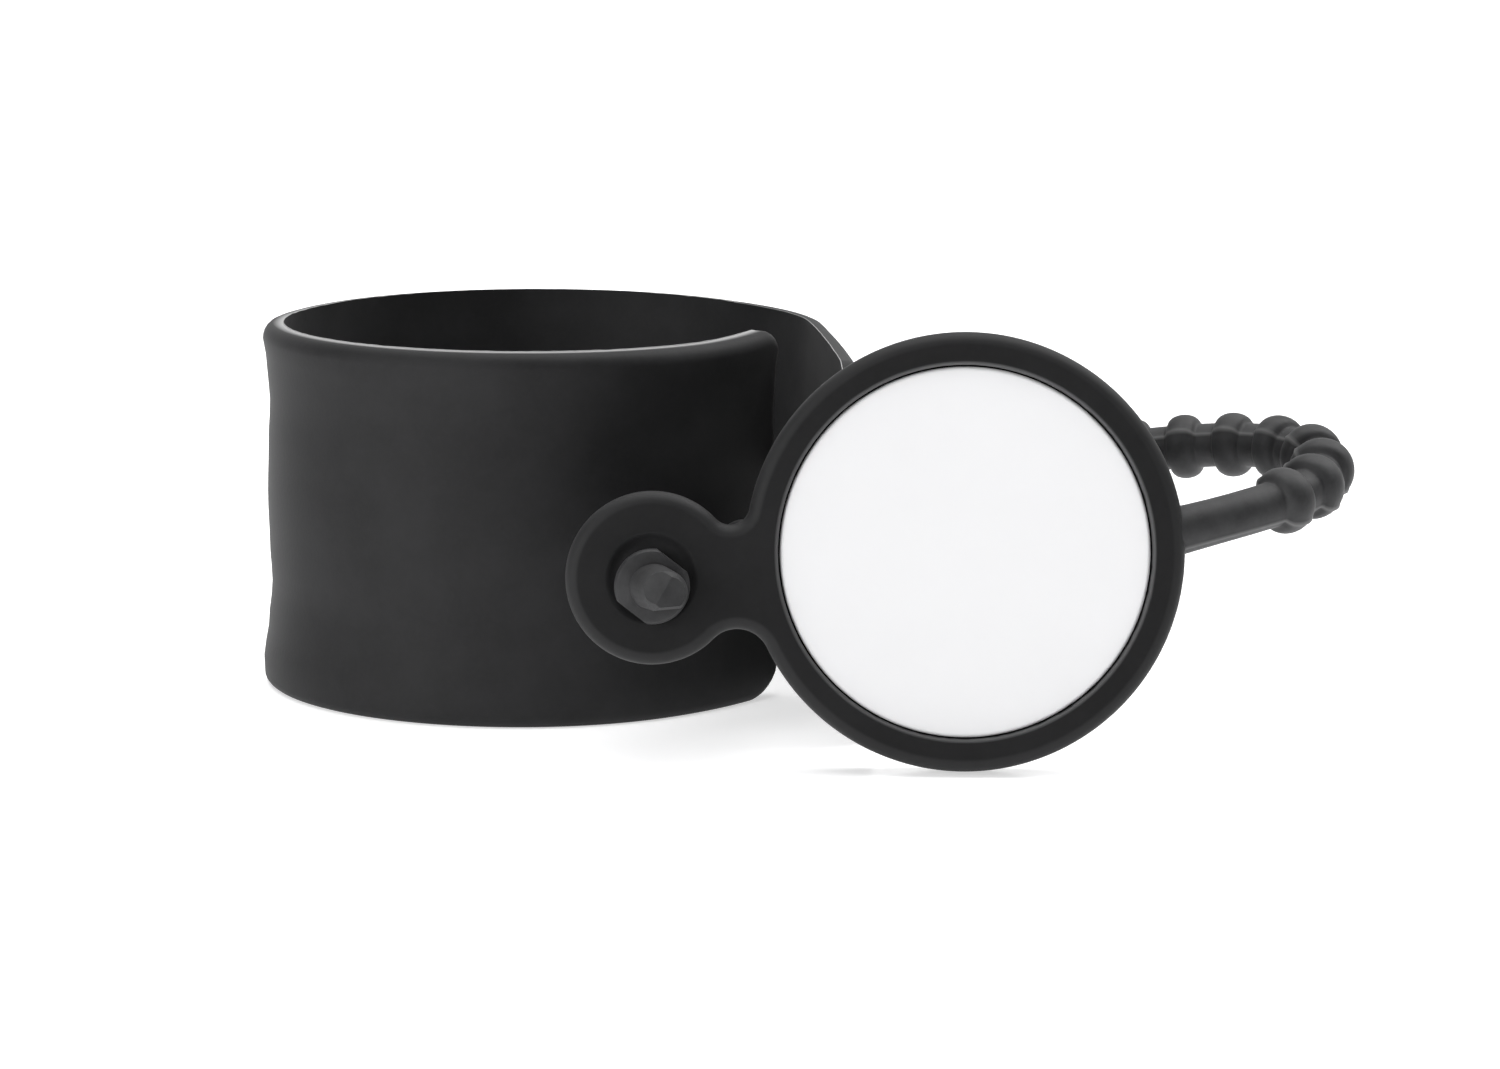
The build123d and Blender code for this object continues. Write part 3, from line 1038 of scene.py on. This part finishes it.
        # Beyond its last point the curve would rise again.
        share = math_node("MINIMUM", math_node("DIVIDE", gap, half_pitch), 1.0)
        shape = add_node(tree, "ShaderNodeFloatCurve", {"Value": share})
        curve = shape.mapping.curves[0]
        curve.points[0].location, curve.points[1].location = (0.0, 1.0), (1.0, 0.0)
        for place in self.bead_outline:
            curve.points.new(*place)
        shape.mapping.update()
        proud = math_node("SUBTRACT", given["Bead Radius"], given["Radius"])
        swell = math_node("MULTIPLY", proud, shape.outputs[0])
        left = math_node("SUBTRACT", 1.0, math_node("DIVIDE", along, given["Root Length"]))
        fade = math_node("MAXIMUM", left, 0.0)
        flare = math_node("MULTIPLY", math_node("POWER", fade, 2.0), given["Root Flare"])
        size = math_node("ADD", math_node("ADD", given["Radius"], swell), flare)
        upright = add_node(tree, "GeometryNodeSetCurveNormal", {"Curve": line}, mode="Z_UP").outputs["Curve"]
        # The parting line of the mould stands up as a fine ridge on two sides of the round.
        circle = add_node(tree, "GeometryNodeCurvePrimitiveCircle", {
            "Resolution": self.sides, "Radius": 1.0}, mode="RADIUS")
        index = add_node(tree, "GeometryNodeInputIndex").outputs["Index"]
        on_ridge = add_node(tree, "FunctionNodeCompare", {
            2: math_node("FLOORED_MODULO", index, self.sides / 2), 3: self.ridge_side},
            data_type="INT", operation="EQUAL").outputs[0]
        lift = add_node(tree, "ShaderNodeVectorMath", {
            0: add_node(tree, "GeometryNodeInputPosition").outputs[0], "Scale": given["Ridge"]},
            operation="SCALE")
        ridged = add_node(tree, "GeometryNodeSetPosition", {
            "Geometry": circle.outputs["Curve"], "Selection": on_ridge, "Offset": lift.outputs[0]})
        # Painted highlight: the ridge's points get the pale colour.
        profile = add_node(tree, "GeometryNodeStoreNamedAttribute", {
            "Geometry": ridged.outputs["Geometry"], "Name": PALENESS_AND_HIGHLIGHT, "Value": on_ridge}, data_type="FLOAT")
        solid = add_node(tree, "GeometryNodeCurveToMesh", {
            "Curve": upright, "Profile Curve": profile.outputs["Geometry"], "Scale": size,
            "Fill Caps": True})
        real = add_node(tree, "GeometryNodeRealizeInstances", {"Geometry": solid.outputs["Mesh"]})
        dressed = add_node(tree, "GeometryNodeSetMaterial", {
            "Geometry": real.outputs["Geometry"], "Material": rubber})
        add_node(tree, "NodeGroupOutput", {"Mesh": dressed.outputs["Geometry"]})
        return tree, sizes

    def make_run(self, rubber: Material) -> Object:
        """Swell the route into the beaded run.

        Args:
            rubber: its material.

        Returns:
            The run as a plain mesh object.
        """
        line = self.route_curve()
        tree, sizes = self.tree(rubber)
        step = line.modifiers.new("beaded rubber", "NODES")
        step.node_group = tree
        for socket in tree.interface.items_tree:
            if socket.name in sizes:
                step[socket.identifier] = sizes[socket.name]
        graph = bpy.context.evaluated_depsgraph_get()
        mesh = bpy.data.meshes.new_from_object(line.evaluated_get(graph), depsgraph=graph)
        run = place_object("beaded_run", mesh)
        bpy.data.objects.remove(line)
        close_up(mesh)
        return run

    def trim(self, piece: Object, spot: Vector, normal: Vector) -> None:
        """Slice away what lies beyond a plane and close the cut.

        Args:
            piece: the closed mesh.
            spot: a point of the plane, in metres.
            normal: towards the side that goes.
        """
        shape = bmesh.new()
        shape.from_mesh(piece.data)
        parts = list(shape.verts) + list(shape.edges) + list(shape.faces)
        cut = bmesh.ops.bisect_plane(shape, geom=parts, plane_co=spot, plane_no=normal, clear_outer=True)
        edges = [part for part in cut["geom_cut"] if isinstance(part, bmesh.types.BMEdge)]
        bmesh.ops.edgeloop_fill(shape, edges=edges)
        bmesh.ops.recalc_face_normals(shape, faces=shape.faces)
        shape.to_mesh(piece.data)
        shape.free()

    def make_tip(self) -> Object:
        """Build the stopper against the eyelet and the stub that stands out of it.

        Returns:
            The two as one mesh object.
        """
        hold = self.holder
        across = -hold.eyelet_distance
        low, high, wide = self.stopper_gap, self.stopper_gap + self.stopper_width, self.stopper_radius
        stopper = hold.lathe("tie_tip", [
            (wide - 0.4, low), (wide - 0.1, low + 0.1), (wide, low + 0.4), (wide, high - 0.55),
            (wide - 0.08, high - 0.3), (wide - 0.25, high - 0.1), (wide - 0.55, high)], across, 64)
        stopper.data.transform(Matrix.Translation(hold.place(0, -self.tip_drop, 0) - hold.place(0, 0, 0)))
        origin = hold.place(across, -self.tip_drop, 0)
        # Two slanting sides of the stopper are cut flat.
        for way in (1, -1):
            normal = hold.place(across + way, way * 1.1 - self.tip_drop, 0) - origin
            self.trim(stopper, origin + normal.normalized() * self.stopper_flat * MM, normal)
        turn = Matrix.Rotation(math.radians(self.tip_turn), 3, "Y") @ Matrix.Rotation(
            math.radians(-self.tip_rise), 3, "X")
        base = low + self.stopper_width / 2
        rings = []
        levels = ((0.0, 1.04), (0.35, 1.0), (4.6, 0.93), (5.1, 0.9), (5.35, 0.84), (self.tip_length, 0.7))
        for out, share in levels:
            ring = []
            for number in range(self.sides):
                angle = 2 * math.pi * number / self.sides
                radius, under = share * self.tip_radius, max(math.sin(angle), -self.tip_flat)
                spot = turn @ Vector((math.cos(angle) * radius, under * radius, out))
                ring.append(hold.place(across + spot.x, spot.y - self.tip_drop, base + spot.z))
            rings.append(ring)
        stub = loft("stub", rings)
        # The end is snipped off at a slant.
        end = turn @ Vector((-1.2, 0.9, 5.0))
        away = turn @ Vector((-0.62, 0.42, 0.75))
        spot = hold.place(across + end.x, end.y - self.tip_drop, base + end.z)
        self.trim(stub, spot, hold.place(across + away.x, away.y - self.tip_drop, away.z) - origin)
        # The stub is painted paler all over; the stopper keeps the plain colour.
        for part, paleness in ((stopper, 0.0), (stub, self.tip_paleness)):
            for mark in part.data.attributes.new(PALENESS_AND_HIGHLIGHT, "FLOAT", "POINT").data:
                mark.value = paleness
        combine(stopper, stub, Cut.JOIN)
        return stopper

    def make(self) -> None:
        """Build the run and the tip, dress them and hang them on the holder's body."""
        rubber = TIE_RUBBER.make()
        run, tip = self.make_run(rubber), self.make_tip()
        shade(run, self.run_crease)
        shade(tip, self.tip_crease)
        for piece in (run, tip):
            dress(piece, rubber)
            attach(piece, "holder")
            log.info("%s: %d faces", piece.name, len(piece.data.polygons))
        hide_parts("beaded_tie")


# Pin plate -------------------------------------------------

@dataclass
class PinPlate:
    """The hard white face that sits in the ring, with its magnet and cup behind it."""

    holder: Holder
    radius: float = 17.95
    face: float = -0.6
    thickness: float = 1.4
    edge: float = 0.4
    crease_angle: float = 30.0

    def make(self, frame: dict) -> None:
        """Build the face, and dress it and the pieces behind it.

        Args:
            frame: the loaded frame, which has those pieces.
        """
        back = self.face - self.thickness
        rim = [(self.radius - 0.3, back), (self.radius, back + 0.3)]
        rim += [(self.radius - inset, self.face - drop)
                for inset, drop in quarter(self.edge, (0, 18, 36, 54, 72, 90))]
        plate = self.holder.lathe("pin_plate_disc", rim + [(self.radius - 2, self.face)], count=256)
        shade(plate, self.crease_angle, weighted=True)
        dress(plate, WHITE_PLATE.make())
        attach(plate, "pin_plate")
        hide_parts("pin_plate_face")
        log.info("%s: %d faces", plate.name, len(plate.data.polygons))
        for node, finish in (("magnet_cup", DARK_CUP), ("keeper_plate", ZINC_STEEL), ("magnet", NICKEL)):
            dress(frame["nodes"][node], finish.make())


# Studio ----------------------------------------------------

@dataclass
class Studio:
    """A pale glossy floor, soft light from the left, the right and above, and the camera."""

    camera_place: tuple[float, float, float] = (24.28, -472.69, 96.43)
    pitch: float = 9.7125
    roll: float = 0.494
    lens: float = 108.0
    sky: float = 0.11
    floor_glow: float = 0.55
    floor_side: float = 5.0
    floor_near: float = -3.0
    bend_start: float = 2.2
    bend_radius: float = 1.2
    backdrop: float = 4.0

    def make_camera(self) -> None:
        """Stand the camera in front, looking slightly down."""
        camera = bpy.data.cameras.new("camera")
        camera.lens = self.lens
        camera.sensor_width = 36.0
        camera.sensor_fit = "HORIZONTAL"
        camera.clip_start, camera.clip_end = 0.01, 20.0
        stand = place_object("camera", camera)
        pitch, roll = math.radians(self.pitch), math.radians(self.roll)
        right = Vector((1, 0, 0))
        up = Vector((0, math.sin(pitch), math.cos(pitch)))
        turned_right = right * math.cos(roll) + up * math.sin(roll)
        turned_up = up * math.cos(roll) - right * math.sin(roll)
        back = turned_right.cross(turned_up)
        pose = Matrix((turned_right, turned_up, back)).transposed().to_4x4()
        pose.translation = Vector(self.camera_place) * MM
        stand.matrix_world = pose
        bpy.context.scene.camera = stand

    def make_floor(self) -> None:
        """Lay a pale floor whose far side rises into a backdrop."""
        material, tree = start_material("pale floor")
        place = add_node(tree, "ShaderNodeTexCoord").outputs["Object"]
        gloss = spread(tree, cloud(tree, place, 1 / 6), 0.2, 0.26)
        surface = add_node(tree, "ShaderNodeBsdfPrincipled", {
            "Base Color": linear("#F4F4F5"), "Roughness": gloss, "IOR": 1.45,
            "Emission Color": linear("#FFFFFF"), "Emission Strength": self.floor_glow})
        add_node(tree, "ShaderNodeOutputMaterial", {"Surface": surface.outputs["BSDF"]})
        profile = [(self.floor_near, 0.0), (self.bend_start, 0.0)]
        for degrees in range(10, 91, 10):
            turn = math.radians(degrees)
            profile.append((self.bend_start + self.bend_radius * math.sin(turn),
                            self.bend_radius * (1 - math.cos(turn))))
        profile.append((self.bend_start + self.bend_radius, self.backdrop))
        points = [Vector((side, y, z)) for y, z in profile for side in (-self.floor_side, self.floor_side)]
        faces = [(2 * row, 2 * row + 1, 2 * row + 3, 2 * row + 2) for row in range(len(profile) - 1)]
        mesh = bpy.data.meshes.new("floor")
        mesh.from_pydata([tuple(point) for point in points], [], faces)
        mesh.shade_smooth()
        floor = place_object("floor", mesh)
        dress(floor, material)

    def add_light(self, name: str, place: tuple[float, float, float], size: tuple[float, float],
                  power: float, aim: tuple[float, float, float] = (0.03, -0.02, 0.02)) -> None:
        """Hang one soft box.

        Args:
            name: its name.
            place: where it hangs, in metres.
            size: its width and height, in metres.
            power: in watts.
            aim: the point that it faces.
        """
        light = bpy.data.lights.new(name, "AREA")
        light.shape = "RECTANGLE"
        light.size, light.size_y = size
        light.energy = power
        box = place_object(name, light)
        box.location = place
        box.rotation_euler = (Vector(aim) - Vector(place)).to_track_quat("-Z", "Y").to_euler()

    def make(self) -> None:
        """Set out the floor, the lights, the sky and the camera."""
        scene = bpy.context.scene
        scene.view_settings.view_transform = "Standard"
        self.make_camera()
        self.make_floor()
        self.add_light("left soft box", (-1.0, -1.0, 0.45), (1.0, 0.7), 10.5)
        self.add_light("right soft box", (0.85, 0.35, 0.95), (0.7, 0.7), 8.5)
        self.add_light("overhead soft box", (0.0, 0.1, 1.5), (1.6, 1.6), 27.0)
        world = bpy.data.worlds.new("studio")
        scene.world = world
        world.use_nodes = True
        world.node_tree.nodes.clear()
        sky = add_node(world.node_tree, "ShaderNodeBackground", {
            "Color": linear("#FFFFFF"), "Strength": self.sky})
        add_node(world.node_tree, "ShaderNodeOutputWorld", {"Surface": sky.outputs["Background"]})


def main() -> None:
    """Load the frame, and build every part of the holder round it."""
    logging.basicConfig(level=logging.INFO, format="%(name)s: %(message)s")
    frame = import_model()
    Studio().make()
    holder = Holder()
    BeadedTie(holder).make()
    SlapBand().make(frame)
    holder.make()
    PinPlate(holder).make(frame)


if __name__ == "__main__":
    main()
